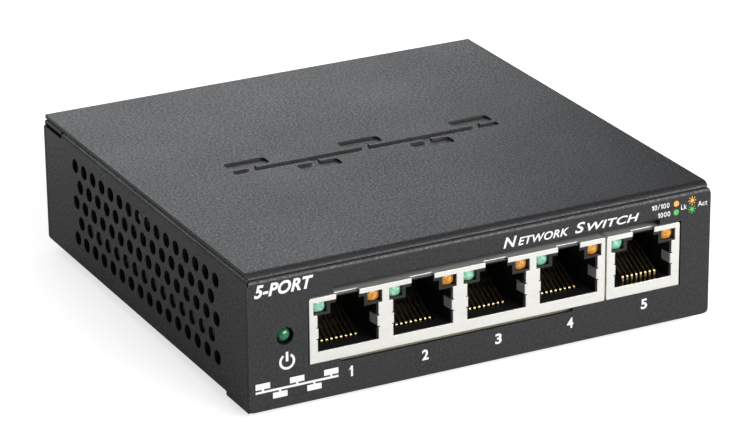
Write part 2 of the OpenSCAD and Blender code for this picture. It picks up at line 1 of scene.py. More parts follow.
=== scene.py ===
import math

import bmesh
import bpy
from mathutils import Matrix, Vector


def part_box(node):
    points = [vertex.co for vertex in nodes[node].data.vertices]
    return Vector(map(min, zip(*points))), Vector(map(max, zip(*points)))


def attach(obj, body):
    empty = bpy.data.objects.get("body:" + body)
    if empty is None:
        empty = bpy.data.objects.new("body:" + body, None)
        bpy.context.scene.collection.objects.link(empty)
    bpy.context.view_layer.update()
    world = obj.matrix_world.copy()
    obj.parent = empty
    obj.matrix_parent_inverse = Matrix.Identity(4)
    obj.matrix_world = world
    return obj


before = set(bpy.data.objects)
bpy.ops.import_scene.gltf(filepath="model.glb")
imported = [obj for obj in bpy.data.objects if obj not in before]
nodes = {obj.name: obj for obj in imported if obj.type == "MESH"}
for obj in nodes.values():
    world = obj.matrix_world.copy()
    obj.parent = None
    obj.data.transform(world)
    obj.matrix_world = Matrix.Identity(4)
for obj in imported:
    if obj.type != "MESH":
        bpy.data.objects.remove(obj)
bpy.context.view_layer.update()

mm = 0.001


# --- Base tray, cover, brackets and screws -----------------------------------------------
# Two folded pieces of 0.8 mm steel: a tray with vented sides, and a flat cover with a
# rolled front edge. Both are powder coated charcoal with a fine sandy texture, and they
# are a little lighter along the bends and the cut edges, partly where the coat is thinner
# and partly as a painted highlight. Brackets are zinc plated, standoffs and screws nickel
# plated, and the ground screw is yellow.

def new_material(name):
    """A node material, its tree and its main shader."""
    material = bpy.data.materials.new(name)
    material.use_nodes = True
    tree = material.node_tree
    return material, tree, tree.nodes["Principled BSDF"]


def shader_group(name, inputs, outputs):
    """An empty shader group with named inputs and outputs, and its two end nodes."""
    group = bpy.data.node_groups.new(name, "ShaderNodeTree")
    for label, kind, value in inputs:
        socket = group.interface.new_socket(label, in_out="INPUT", socket_type=kind)
        socket.default_value = value
    for label, kind in outputs:
        group.interface.new_socket(label, in_out="OUTPUT", socket_type=kind)
    return group, group.nodes.new("NodeGroupInput"), group.nodes.new("NodeGroupOutput")


def ramp_between(tree, factor, low, high):
    """Maps factor to 0..1 between two levels."""
    node = tree.nodes.new("ShaderNodeMapRange")
    node.inputs["From Min"].default_value = low
    node.inputs["From Max"].default_value = high
    tree.links.new(factor, node.inputs["Value"])
    return node.outputs["Result"]


def maths(tree, operation, *values):
    """One step of arithmetic on numbers or sockets, in a shader or a geometry tree."""
    node = tree.nodes.new("ShaderNodeMath")
    node.operation = operation
    for socket, value in zip(node.inputs, values):
        if isinstance(value, (int, float)):
            socket.default_value = value
        else:
            tree.links.new(value, socket)
    return node.outputs[0]


def mixed_colour(tree, factor, first, second):
    """The first colour where factor is 0, the second where it is 1."""
    node = tree.nodes.new("ShaderNodeMix")
    node.data_type = "RGBA"
    tree.links.new(factor, node.inputs["Factor"])
    for socket, value in ((node.inputs["A"], first), (node.inputs["B"], second)):
        if isinstance(value, tuple):
            socket.default_value = value
        else:
            tree.links.new(value, socket)
    return node.outputs["Result"]


def make_speckle_group():
    """Fine grain over slow clouds: a colour, a roughness and a height for a bump."""
    group, start, end = shader_group(
        "speckle",
        [("Grain Scale", "NodeSocketFloat", 3000.0),
         ("Cloud Scale", "NodeSocketFloat", 60.0),
         ("Dark", "NodeSocketColor", (0.02, 0.02, 0.02, 1)),
         ("Light", "NodeSocketColor", (0.05, 0.05, 0.05, 1)),
         ("Rough Low", "NodeSocketFloat", 0.4),
         ("Rough High", "NodeSocketFloat", 0.6)],
        [("Color", "NodeSocketColor"), ("Roughness", "NodeSocketFloat"),
         ("Height", "NodeSocketFloat")])
    place = group.nodes.new("ShaderNodeTexCoord")
    grain = group.nodes.new("ShaderNodeTexNoise")
    grain.inputs["Detail"].default_value = 3.0
    grain.inputs["Roughness"].default_value = 0.65
    clouds = group.nodes.new("ShaderNodeTexNoise")
    clouds.inputs["Detail"].default_value = 2.0
    for noise, scale in ((grain, "Grain Scale"), (clouds, "Cloud Scale")):
        group.links.new(place.outputs["Object"], noise.inputs["Vector"])
        group.links.new(start.outputs[scale], noise.inputs["Scale"])
    relief = group.nodes.new("ShaderNodeTexNoise")
    relief.inputs["Detail"].default_value = 1.0
    group.links.new(place.outputs["Object"], relief.inputs["Vector"])
    group.links.new(maths(group, "MULTIPLY", start.outputs["Grain Scale"], 2.1),
                    relief.inputs["Scale"])
    speck = ramp_between(group, grain.outputs["Fac"], 0.35, 0.68)
    both = maths(group, "ADD", maths(group, "MULTIPLY", speck, 0.75),
                 maths(group, "MULTIPLY", clouds.outputs["Fac"], 0.25))
    colour = mixed_colour(group, both, start.outputs["Dark"], start.outputs["Light"])
    rough = group.nodes.new("ShaderNodeMapRange")
    group.links.new(both, rough.inputs["Value"])
    group.links.new(start.outputs["Rough Low"], rough.inputs["To Min"])
    group.links.new(start.outputs["Rough High"], rough.inputs["To Max"])
    group.links.new(colour, end.inputs["Color"])
    group.links.new(rough.outputs["Result"], end.inputs["Roughness"])
    group.links.new(relief.outputs["Fac"], end.inputs["Height"])
    return group


def make_edge_group():
    """White where the surface turns sharply within a small radius, broken up by noise: the mask for
    worn coat and a painted highlight on bends and cut edges.
    """
    group, start, end = shader_group(
        "worn_edge",
        [("Radius", "NodeSocketFloat", 0.0003), ("Amount", "NodeSocketFloat", 1.0)],
        [("Mask", "NodeSocketFloat")])
    rounded = group.nodes.new("ShaderNodeBevel")
    rounded.samples = 4
    group.links.new(start.outputs["Radius"], rounded.inputs["Radius"])
    facing = group.nodes.new("ShaderNodeNewGeometry")
    dot = group.nodes.new("ShaderNodeVectorMath")
    dot.operation = "DOT_PRODUCT"
    group.links.new(rounded.outputs["Normal"], dot.inputs[0])
    group.links.new(facing.outputs["True Normal"], dot.inputs[1])
    turned = maths(group, "SUBTRACT", 1.0, dot.outputs["Value"])
    place = group.nodes.new("ShaderNodeTexCoord")
    patch = group.nodes.new("ShaderNodeTexNoise")
    patch.inputs["Scale"].default_value = 900.0
    group.links.new(place.outputs["Object"], patch.inputs["Vector"])
    broken = maths(group, "MULTIPLY", turned, ramp_between(group, patch.outputs["Fac"], 0.3, 0.6))
    mask = maths(group, "MULTIPLY", broken, start.outputs["Amount"])
    clamped = maths(group, "MINIMUM", mask, 1.0)
    group.links.new(clamped, end.inputs["Mask"])
    return group


speckle_group = make_speckle_group()
wear_and_highlight_group = make_edge_group()


def group_node(tree, group, **values):
    """Puts a group in a tree; an underscore in a name stands for a space."""
    node = tree.nodes.new("ShaderNodeGroup")
    node.node_tree = group
    for name, value in values.items():
        node.inputs[name.replace("_", " ")].default_value = value
    return node


def raise_surface(tree, shader, height, distance, edge_radius=None):
    """Bump from a height, on edges rounded by a small radius where one is given."""
    bump = tree.nodes.new("ShaderNodeBump")
    bump.inputs["Distance"].default_value = distance
    tree.links.new(height, bump.inputs["Height"])
    if edge_radius:
        rounded = tree.nodes.new("ShaderNodeBevel")
        rounded.samples = 4
        rounded.inputs["Radius"].default_value = edge_radius
        tree.links.new(rounded.outputs["Normal"], bump.inputs["Normal"])
    tree.links.new(bump.outputs["Normal"], shader.inputs["Normal"])


def speckled(name, dark, light, rough, grain, cloud, relief, edge_radius=None,
             wear_and_highlight_colour=None, metallic=0.0):
    """A finish with fine grain: paint, moulded plastic, rubber, plating or resin."""
    material, tree, shader = new_material(name)
    speck = group_node(tree, speckle_group, Grain_Scale=grain, Cloud_Scale=cloud,
                       Dark=(*dark, 1), Light=(*light, 1), Rough_Low=rough[0],
                       Rough_High=rough[1])
    colour = speck.outputs["Color"]
    # Bends and cut edges turn lighter here: partly worn coat, partly a painted highlight.
    if wear_and_highlight_colour:
        edge = group_node(tree, wear_and_highlight_group, Radius=0.00025, Amount=1.6)
        colour = mixed_colour(tree, edge.outputs["Mask"], colour, (*wear_and_highlight_colour, 1))
    tree.links.new(colour, shader.inputs["Base Color"])
    tree.links.new(speck.outputs["Roughness"], shader.inputs["Roughness"])
    shader.inputs["Metallic"].default_value = metallic
    raise_surface(tree, shader, speck.outputs["Height"], relief, edge_radius=edge_radius)
    return material


def finish_node(name, material):
    """Gives a node of the frame its own material in place of the plain one."""
    mesh = nodes[name].data
    mesh.materials.clear()
    mesh.materials.append(material)


# The lighter edge colour is worn coat and a painted highlight on the bends and cut edges.
powder_coat = speckled("charcoal_powder_coat", (0.001, 0.001, 0.001), (0.034, 0.035, 0.038),
                       (0.60, 0.20), 2000.0, 45.0, 0.00006,
                       wear_and_highlight_colour=(0.10, 0.10, 0.11))
for sheet_piece in ("base_tray", "top_cover"):
    finish_node(sheet_piece, powder_coat)

zinc_plate = speckled("zinc_plate", (0.54, 0.55, 0.57), (0.68, 0.69, 0.70), (0.28, 0.38),
                      900.0, 120.0, 0.000008, 0.0001, metallic=1.0)
for bracket in ("cover_bracket_left", "cover_bracket_right"):
    finish_node(bracket, zinc_plate)

nickel_plate = speckled("nickel_plate", (0.66, 0.65, 0.62), (0.78, 0.77, 0.74), (0.20, 0.28),
                        1400.0, 200.0, 0.000003, 0.00008, metallic=1.0)
for fixing in ("cover_screws", "board_screws", "board_standoffs", "jack_pin"):
    finish_node(fixing, nickel_plate)

yellow_plate = speckled("yellow_plate", (0.62, 0.47, 0.18), (0.76, 0.60, 0.28), (0.2, 0.3),
                        1400.0, 220.0, 0.000006, 0.00008, metallic=1.0)
finish_node("ground_screw", yellow_plate)


# --- Circuit board -----------------------------------------------------------------------
# Glass-epoxy laminate under green solder mask. Copper tracks show through the mask as
# paler lines, joined to the layers below by plated holes.

def geometry_tree(name, inputs):
    """An empty Geometry Nodes tree with named inputs, its input node and its output node."""
    tree = bpy.data.node_groups.new(name, "GeometryNodeTree")
    tree.interface.new_socket("Geometry", in_out="INPUT", socket_type="NodeSocketGeometry")
    for label, kind in inputs:
        tree.interface.new_socket(label, in_out="INPUT", socket_type=kind)
    tree.interface.new_socket("Geometry", in_out="OUTPUT", socket_type="NodeSocketGeometry")
    return tree, tree.nodes.new("NodeGroupInput"), tree.nodes.new("NodeGroupOutput")


def close_tree(tree, end, shape, material):
    """Every tree ends the same way: instances made real, then one material."""
    real = tree.nodes.new("GeometryNodeRealizeInstances")
    coated = tree.nodes.new("GeometryNodeSetMaterial")
    tree.links.new(shape, real.inputs["Geometry"])
    tree.links.new(real.outputs["Geometry"], coated.inputs["Geometry"])
    tree.links.new(material, coated.inputs["Material"])
    tree.links.new(coated.outputs["Geometry"], end.inputs["Geometry"])


def grow(name, mesh, tree, body, slot, **values):
    """Runs a tree on a mesh, keeps the result as a plain mesh and lets it ride a body."""
    piece = bpy.data.objects.new(name, mesh)
    bpy.context.scene.collection.objects.link(piece)
    modifier = piece.modifiers.new("grow", "NODES")
    modifier.node_group = tree
    for item in tree.interface.items_tree:
        if item.in_out == "INPUT" and item.name.replace(" ", "_") in values:
            modifier[item.identifier] = values[item.name.replace(" ", "_")]
    piece.update_tag()
    result = bpy.data.meshes.new_from_object(
        piece.evaluated_get(bpy.context.evaluated_depsgraph_get()))
    result.name = name
    piece.modifiers.remove(modifier)
    piece.data = result
    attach(piece, body)
    return piece


def points_mesh(name, points, edges=()):
    """Loose points, joined by edges where some are given, for a tree to work on."""
    mesh = bpy.data.meshes.new(name)
    mesh.from_pydata(points, edges, [])
    return mesh


def board_finish():
    """Solder mask over a weave that barely shows, with bare glass cloth on the cut edge."""
    material, tree, shader = new_material("green_solder_mask")
    place = tree.nodes.new("ShaderNodeTexCoord")
    weave = tree.nodes.new("ShaderNodeTexWave")
    weave.inputs["Scale"].default_value = 700.0
    weave.inputs["Distortion"].default_value = 0.4
    across = tree.nodes.new("ShaderNodeTexWave")
    across.bands_direction = "Y"
    across.inputs["Scale"].default_value = 700.0
    across.inputs["Distortion"].default_value = 0.4
    for wave in (weave, across):
        tree.links.new(place.outputs["Object"], wave.inputs["Vector"])
    cloth = maths(tree, "MULTIPLY", weave.outputs["Fac"], across.outputs["Fac"])
    speck = group_node(tree, speckle_group, Grain_Scale=1200.0, Cloud_Scale=160.0,
                       Dark=(0.006, 0.070, 0.028, 1), Light=(0.010, 0.105, 0.044, 1),
                       Rough_Low=0.22, Rough_High=0.36)
    facing = tree.nodes.new("ShaderNodeNewGeometry")
    axes = tree.nodes.new("ShaderNodeSeparateXYZ")
    tree.links.new(facing.outputs["True Normal"], axes.inputs["Vector"])
    flat = ramp_between(tree, maths(tree, "ABSOLUTE", axes.outputs["Z"]), 0.4, 0.6)
    mask = mixed_colour(tree, maths(tree, "MULTIPLY", cloth, 0.25), speck.outputs["Color"],
                        (0.02, 0.17, 0.08, 1))
    colour = mixed_colour(tree, flat, (0.34, 0.33, 0.22, 1), mask)
    tree.links.new(colour, shader.inputs["Base Color"])
    tree.links.new(speck.outputs["Roughness"], shader.inputs["Roughness"])
    raise_surface(tree, shader, cloth, 0.00001)
    return material


finish_node("circuit_board", board_finish())
mask_over_copper = speckled("mask_over_copper", (0.012, 0.13, 0.055), (0.03, 0.22, 0.10),
                            (0.22, 0.34), 1500.0, 200.0, 0.000004)
tinned_lead = speckled("tinned_lead", (0.50, 0.50, 0.49), (0.78, 0.78, 0.76), (0.2, 0.4),
                       2600.0, 500.0, 0.000008, metallic=1.0)
drill_shadow = speckled("drill_shadow", (0.004, 0.006, 0.004), (0.012, 0.018, 0.012),
                        (0.6, 0.8), 2600.0, 500.0, 0.00001)

board_low, board_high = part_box("circuit_board")
board_top = board_high[2]


def make_track_tree():
    """The mesh's edges become rounded bars, with their corners eased."""
    tree, start, end = geometry_tree("tracks", [("Width", "NodeSocketFloat"),
                                                ("Corner", "NodeSocketFloat"),
                                                ("Material", "NodeSocketMaterial")])
    path = tree.nodes.new("GeometryNodeMeshToCurve")
    eased = tree.nodes.new("GeometryNodeFilletCurve")
    eased.mode = "POLY"
    eased.inputs["Count"].default_value = 3
    section = tree.nodes.new("GeometryNodeCurvePrimitiveCircle")
    section.inputs["Resolution"].default_value = 6
    bar = tree.nodes.new("GeometryNodeCurveToMesh")
    tree.links.new(start.outputs["Geometry"], path.inputs["Mesh"])
    tree.links.new(path.outputs["Curve"], eased.inputs["Curve"])
    tree.links.new(start.outputs["Corner"], eased.inputs["Radius"])
    tree.links.new(maths(tree, "DIVIDE", start.outputs["Width"], 2.0), section.inputs["Radius"])
    tree.links.new(eased.outputs["Curve"], bar.inputs["Curve"])
    tree.links.new(section.outputs["Curve"], bar.inputs["Profile Curve"])
    close_tree(tree, end, bar.outputs["Mesh"], start.outputs["Material"])
    return tree


def make_disc_tree():
    """A short cylinder on every point of the mesh."""
    tree, start, end = geometry_tree("discs", [("Radius", "NodeSocketFloat"),
                                               ("Height", "NodeSocketFloat"),
                                               ("Material", "NodeSocketMaterial")])
    disc = tree.nodes.new("GeometryNodeMeshCylinder")
    disc.inputs["Vertices"].default_value = 12
    put = tree.nodes.new("GeometryNodeInstanceOnPoints")
    tree.links.new(start.outputs["Radius"], disc.inputs["Radius"])
    tree.links.new(start.outputs["Height"], disc.inputs["Depth"])
    tree.links.new(start.outputs["Geometry"], put.inputs["Points"])
    tree.links.new(disc.outputs["Mesh"], put.inputs["Instance"])
    close_tree(tree, end, put.outputs["Instances"], start.outputs["Material"])
    return tree


track_tree = make_track_tree()
disc_tree = make_disc_tree()

chip_low, chip_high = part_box("switch_chip")
chip_x, chip_y = ((chip_low[i] + chip_high[i]) / 2 for i in (0, 1))
track_points, track_edges, via_points = [], [], []

# In millimetres: how deep a track's axis lies, and the spacing of the transformers' pins
track_sink = 0.07
pin_pitch = 1.27
lanes = 8
lane_middle = (lanes - 1) / 2


def lay_track(points):
    """Adds one track through points given in X and Y."""
    first = len(track_points)
    track_points.extend((x, y, board_top - track_sink * mm) for x, y in points)
    track_edges.extend((first + i, first + i + 1) for i in range(len(points) - 1))


# Eight tracks run from each transformer to the chip, bending once on the way
for number in range(1, 6):
    low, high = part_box(f"port_transformer_{number}")
    middle = (low[0] + high[0]) / 2
    for lane in range(lanes):
        x = middle + (lane - lane_middle) * pin_pitch * mm
        target = chip_x + ((number - 3) * 2.6 + (lane - lane_middle) * 0.3) * mm
        bend = high[1] + (3.2 + 0.45 * (lane if target > x else lanes - 1 - lane)
                          + 0.9 * abs(number - 3)) * mm
        ease = 1.6 * mm if target > x else -1.6 * mm
        if abs(target - x) < abs(2 * ease):
            ease = (target - x) / 2
        lay_track([(x, high[1] + 1.2 * mm), (x, bend), (x + ease, bend + abs(ease)),
                   (target - ease, bend + abs(ease)), (target, bend + 2 * abs(ease)),
                   (target, chip_low[1] - 1.8 * mm)])
        if lane % 2:
            via_points.append((x, high[1] + 2.2 * mm))

# Tracks carry the supply from the inlet, and a fan of signals leaves the chip
inlet_low, inlet_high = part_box("jack_housing")
for step in range(5):
    lay_track([(inlet_low[0] + (2 + 1.2 * step) * mm, inlet_low[1] - 1 * mm),
               (inlet_low[0] + (2 + 1.2 * step) * mm, inlet_low[1] - (7 + step) * mm),
               (inlet_low[0] - (4 - 0.6 * step) * mm, inlet_low[1] - (13 + step) * mm)])
for step in range(9):
    side = chip_y + (step - 4) * 1.2 * mm
    lay_track([(chip_low[0] - 1.8 * mm, side), (chip_low[0] - (4 + 0.5 * step) * mm, side),
               (chip_low[0] - (8 + 0.5 * step) * mm, side + 4 * mm),
               (chip_low[0] - (13 + 1.1 * step) * mm, side + 4 * mm)])
    via_points.append((chip_low[0] - (13 + 1.1 * step) * mm, side + 4 * mm))
    lay_track([(chip_high[0] + 1.8 * mm, side), (chip_high[0] + (3 + 0.5 * step) * mm, side),
               (chip_high[0] + (6 + 0.5 * step) * mm, side - 3 * mm)])
    via_points.append((chip_high[0] + (6 + 0.5 * step) * mm, side - 3 * mm))
for step in range(14):
    via_points.append((board_low[0] + (6 + 6 * step) * mm, board_high[1] - 1.5 * mm))
    via_points.append((board_low[0] + 1.4 * mm, board_low[1] + (26 + 4.5 * step) * mm))
    via_points.append((board_high[0] - 1.4 * mm, board_low[1] + (26 + 4.5 * step) * mm))

grow("board_tracks", points_mesh("tracks", track_points, track_edges), track_tree, "case",
     "green_board", Width=0.22 * mm, Corner=0.3 * mm, Material=mask_over_copper)
for name, radius, height, material in (
        ("board_hole_rings", 0.34, 0.05, tinned_lead), ("board_holes", 0.16, 0.06, drill_shadow)):
    grow(name, points_mesh(name, [(x, y, board_top) for x, y in via_points]), disc_tree, "case",
         "green_board", Radius=radius * mm, Height=height * mm, Material=material)


# --- Chips, transformers and their leads -------------------------------------------------
# Moulded in dull black resin, with bent tinned leads soldered to the board. The switch chip
# carries a thermal pad and a black anodised heat sink.

chip_resin = speckled("chip_resin", (0.010, 0.010, 0.011), (0.030, 0.030, 0.032),
                      (0.45, 0.62), 3600.0, 260.0, 0.00002, 0.00008)
for chip in ("switch_chip", "settings_memory", "power_regulator"):
    finish_node(chip, chip_resin)
coil_case = speckled("coil_case", (0.012, 0.012, 0.013), (0.034, 0.034, 0.036),
                     (0.30, 0.44), 2200.0, 200.0, 0.000012, 0.00012)
for number in range(1, 6):
    finish_node(f"port_transformer_{number}", coil_case)
finish_node("thermal_pad", speckled("thermal_pad", (0.30, 0.34, 0.40), (0.46, 0.50, 0.56),
                                    (0.7, 0.85), 1500.0, 300.0, 0.00002))
finish_node("heat_sink", speckled("black_anodised", (0.006, 0.006, 0.008), (0.024, 0.024, 0.030),
                                  (0.28, 0.44), 1900.0, 140.0, 0.00001, 0.00010,
                                  metallic=0.4))


def vector_of(tree, x=None, y=None, z=None):
    """A vector from up to three sockets; an axis that is left out stays at 0."""
    node = tree.nodes.new("ShaderNodeCombineXYZ")
    for label, value in (("X", x), ("Y", y), ("Z", z)):
        if value is not None:
            tree.links.new(value, node.inputs[label])
    return node.outputs[0]


def make_lead_tree():
    """Copies the mesh, one lead, along each side of a package."""
    tree, start, end = geometry_tree("leads", [
        ("Count", "NodeSocketInt"), ("Pitch", "NodeSocketFloat"), ("Sides", "NodeSocketInt"),
        ("Reach", "NodeSocketFloat"), ("Place", "NodeSocketVector"),
        ("Material", "NodeSocketMaterial")])

    row = tree.nodes.new("GeometryNodeMeshLine")
    tree.links.new(start.outputs["Count"], row.inputs["Count"])
    half = maths(tree, "MULTIPLY", maths(tree, "SUBTRACT", start.outputs["Count"], 1),
                 maths(tree, "MULTIPLY", start.outputs["Pitch"], -0.5))
    back = maths(tree, "MULTIPLY", start.outputs["Reach"], -1)
    tree.links.new(vector_of(tree, half, back), row.inputs["Start Location"])
    tree.links.new(vector_of(tree, start.outputs["Pitch"]), row.inputs["Offset"])
    in_row = tree.nodes.new("GeometryNodeInstanceOnPoints")
    tree.links.new(row.outputs["Mesh"], in_row.inputs["Points"])
    tree.links.new(start.outputs["Geometry"], in_row.inputs["Instance"])
    sides = tree.nodes.new("GeometryNodeMeshLine")
    sides.inputs["Offset"].default_value = (0, 0, 0)
    tree.links.new(start.outputs["Sides"], sides.inputs["Count"])
    index = tree.nodes.new("GeometryNodeInputIndex")
    turn = maths(tree, "MULTIPLY", index.outputs[0],
                 maths(tree, "DIVIDE", 2 * math.pi, start.outputs["Sides"]))
    round_chip = tree.nodes.new("GeometryNodeInstanceOnPoints")
    tree.links.new(sides.outputs["Mesh"], round_chip.inputs["Points"])
    tree.links.new(in_row.outputs["Instances"], round_chip.inputs["Instance"])
    tree.links.new(vector_of(tree, z=turn), round_chip.inputs["Rotation"])
    moved = tree.nodes.new("GeometryNodeTransform")
    tree.links.new(round_chip.outputs["Instances"], moved.inputs["Geometry"])
    tree.links.new(start.outputs["Place"], moved.inputs["Translation"])
    close_tree(tree, end, moved.outputs["Geometry"], start.outputs["Material"])
    return tree


def lead_mesh(width, shoulder, drop, foot):
    """One bent lead leaving a package towards -Y: out, down and out again to a flat foot."""
    thick = 0.15 * mm
    line = [(0.05 * mm, drop), (-shoulder, drop), (-shoulder - 0.25 * mm, 0),
            (-shoulder - 0.25 * mm - foot, 0)]
    shape = bmesh.new()
    rings = [[shape.verts.new((x, y, z + up)) for x, up in
              ((-width / 2, 0), (width / 2, 0), (width / 2, thick), (-width / 2, thick))]
             for y, z in line]
    for first, second in zip(rings, rings[1:]):
        for i in range(4):
            j = (i + 1) % 4
            shape.faces.new((first[i], first[j], second[j], second[i]))
    shape.faces.new(rings[0])
    shape.faces.new(rings[-1][::-1])
    bmesh.ops.recalc_face_normals(shape, faces=shape.faces)
    mesh = bpy.data.meshes.new("lead")
    shape.to_mesh(mesh)
    shape.free()
    return mesh


lead_tree = make_lead_tree()

# Package, leads in a row, pitch, rows, then the lead's width, shoulder and foot (mm)
packages = [("switch_chip", 32, 0.4, 4, 0.18, 0.35, 0.5),
            ("settings_memory", 4, 1.27, 2, 0.42, 0.3, 0.5),
            ("power_regulator", 4, 1.27, 2, 0.42, 0.3, 0.5)]
packages += [(f"port_transformer_{number}", 8, 1.27, 2, 0.5, 0.35, 0.6)
             for number in range(1, 6)]
for package, count, pitch, rows, width, shoulder, foot in packages:
    low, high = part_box(package)
    reach = (high[1] - low[1]) / 2
    drop = min((high[2] - low[2]) / 2 + low[2] - board_top, 1.2 * mm)
    grow(f"{package}_leads", lead_mesh(width * mm, shoulder * mm, drop, foot * mm), lead_tree,
         "case", "nickel_plate", Count=count, Pitch=pitch * mm, Sides=rows, Reach=reach,
         Place=((low[0] + high[0]) / 2, (low[1] + high[1]) / 2, board_top),
         Material=tinned_lead)


# --- Capacitors, coil, crystal and the small parts ---------------------------------------
# Aluminium cans in printed plastic sleeves, a moulded ferrite coil, a plated crystal can,
# and rows of ceramic chips with tinned ends, all soldered to the board.

def sleeve_finish(can):
    """A dark sleeve with a pale stripe down one side and the bare scored can end on top."""
    low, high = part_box(can)
    material, tree, shader = new_material(f"{can}_sleeve")
    place = tree.nodes.new("ShaderNodeTexCoord")
    centre = tree.nodes.new("ShaderNodeMapping")
    centre.inputs["Location"].default_value = (-(low[0] + high[0]) / 2,
                                               -(low[1] + high[1]) / 2, -high[2])
    tree.links.new(place.outputs["Object"], centre.inputs["Vector"])
    axes = tree.nodes.new("ShaderNodeSeparateXYZ")
    tree.links.new(centre.outputs["Vector"], axes.inputs["Vector"])
    radius = (high[0] - low[0]) / 2
    out = maths(tree, "SQRT", maths(tree, "ADD",
                                    maths(tree, "MULTIPLY", axes.outputs["X"], axes.outputs["X"]),
                                    maths(tree, "MULTIPLY", axes.outputs["Y"],
                                          axes.outputs["Y"])))
    on_top = maths(tree, "MULTIPLY",
                   ramp_between(tree, axes.outputs["Z"], -0.6 * mm, -0.55 * mm),
                   ramp_between(tree, out, radius * 0.86, radius * 0.84))
    beside = maths(tree, "MULTIPLY",
                   ramp_between(tree, axes.outputs["X"], -radius * 0.78, -radius * 0.80),
                   ramp_between(tree, axes.outputs["Z"], -0.9 * mm, -1.0 * mm))
    speck = group_node(tree, speckle_group, Grain_Scale=1600.0, Cloud_Scale=240.0,
                       Dark=(0.006, 0.008, 0.014, 1), Light=(0.020, 0.024, 0.036, 1),
                       Rough_Low=0.2, Rough_High=0.32)
    striped = mixed_colour(tree, beside, speck.outputs["Color"], (0.46, 0.47, 0.50, 1))
    colour = mixed_colour(tree, on_top, striped, (0.72, 0.72, 0.72, 1))
    tree.links.new(colour, shader.inputs["Base Color"])
    tree.links.new(on_top, shader.inputs["Metallic"])
    tree.links.new(speck.outputs["Roughness"], shader.inputs["Roughness"])
    score = maths(tree, "MINIMUM", maths(tree, "ABSOLUTE", axes.outputs["X"]),
                  maths(tree, "ABSOLUTE", axes.outputs["Y"]))
    raise_surface(tree, shader, ramp_between(tree, score, 0.0, 0.2 * mm), 0.00012)
    return material


for can in ("input_capacitor", "output_capacitor"):
    finish_node(can, sleeve_finish(can))
finish_node("power_inductor", speckled("ferrite", (0.030, 0.030, 0.031), (0.085, 0.083, 0.080),
                                       (0.5, 0.7), 2200.0, 300.0, 0.00003, 0.0002))
finish_node("crystal", nickel_plate)

ceramic = speckled("ceramic_body", (0.20, 0.13, 0.07), (0.40, 0.29, 0.17), (0.35, 0.5),
                   2600.0, 500.0, 0.000008, 0.00005)
film_black = speckled("resistor_face", (0.010, 0.010, 0.012), (0.024, 0.024, 0.028),
                      (0.2, 0.35), 2600.0, 500.0, 0.000006, 0.00005)


def make_block_tree():
    """A box, or a pair of them along X, on every point, quarter-turned at random."""
    tree, start, end = geometry_tree("blocks", [
        ("Size", "NodeSocketVector"), ("Half Gap", "NodeSocketFloat"),
        ("Seed", "NodeSocketInt"), ("Material", "NodeSocketMaterial")])
    block = tree.nodes.new("GeometryNodeMeshCube")
    tree.links.new(start.outputs["Size"], block.inputs["Size"])
    both = tree.nodes.new("GeometryNodeJoinGeometry")
    for side in (1, -1):
        across = vector_of(tree, x=maths(tree, "MULTIPLY", start.outputs["Half Gap"], side))
        shifted = tree.nodes.new("GeometryNodeTransform")
        tree.links.new(block.outputs["Mesh"], shifted.inputs["Geometry"])
        tree.links.new(across, shifted.inputs["Translation"])
        tree.links.new(shifted.outputs["Geometry"], both.inputs[0])
    chance = tree.nodes.new("FunctionNodeRandomValue")
    chance.data_type = "INT"
    chance.inputs[4].default_value = 0
    chance.inputs[5].default_value = 1
    tree.links.new(start.outputs["Seed"], chance.inputs["Seed"])
    quarter = maths(tree, "MULTIPLY", chance.outputs[2], math.pi / 2)
    put = tree.nodes.new("GeometryNodeInstanceOnPoints")
    tree.links.new(start.outputs["Geometry"], put.inputs["Points"])
    tree.links.new(both.outputs[0], put.inputs["Instance"])
    tree.links.new(vector_of(tree, z=quarter), put.inputs["Rotation"])
    close_tree(tree, end, put.outputs["Instances"], start.outputs["Material"])
    return tree


block_tree = make_block_tree()


# The grid's left, front, width and depth on the board, in millimetres
grid_left, grid_front, grid_width, grid_depth = 4, 25, 85, 68


def free_places(rows, columns, keep):
    """Points on a loose grid over the board, clear of everything that stands on it.

    Every place falls in one of four kinds by its row and column, and keep lists the kinds
    wanted. The four screws are one node, so each of their heads is kept clear by itself.
    """
    standing = [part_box(name) for name in nodes
                if name not in ("base_tray", "top_cover", "circuit_board", "board_screws")
                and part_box(name)[0][2] < board_top + 0.5 * mm
                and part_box(name)[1][2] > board_top + 0.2 * mm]
    clear = 2.0 * mm
    screw_low, screw_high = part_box("board_screws")
    head = 6 * mm
    for x in (screw_low[0], screw_high[0] - head):
        for y in (screw_low[1], screw_high[1] - head):
            standing.append(((x, y, 0), (x + head, y + head, 0)))
    found = []
    for row in range(rows):
        for column in range(columns):
            if (row * 7 + column * 5) % 4 not in keep:
                continue
            x = board_low[0] + (grid_left + (column + 0.5 * (row % 2)) * grid_width / columns) * mm
            y = board_low[1] + (grid_front + row * grid_depth / rows) * mm
            if all(x < low[0] - clear or x > high[0] + clear or y < low[1] - clear
                   or y > high[1] + clear for low, high in standing):
                found.append((x, y))
    return found


for label, face, keep, size, seed in (
        ("ceramic", ceramic, (0, 1), (1.6, 0.8, 0.8), 3),
        ("resistor", film_black, (2,), (1.6, 0.8, 0.45), 8)):
    spots = [(x, y, board_top + size[2] / 2 * mm) for x, y in free_places(17, 17, keep)]
    length, width, height = (side * mm for side in size)
    grow(f"{label}_bodies", points_mesh(label, spots), block_tree, "case", "chip_resin",
         Size=(length * 0.62, width, height * 0.98), Half_Gap=0.0, Seed=seed, Material=face)
    grow(f"{label}_ends", points_mesh(label, spots), block_tree, "case", "nickel_plate",
         Size=(length * 0.2, width * 1.03, height), Half_Gap=length * 0.4, Seed=seed,
         Material=tinned_lead)


# --- Port housings, contact wires and the power inlet ------------------------------------
# Housings are moulded in black glass-filled plastic, a little glossier where the mould
# was polished. Contact wires and the inlet's leaf spring are gold-flashed bronze.

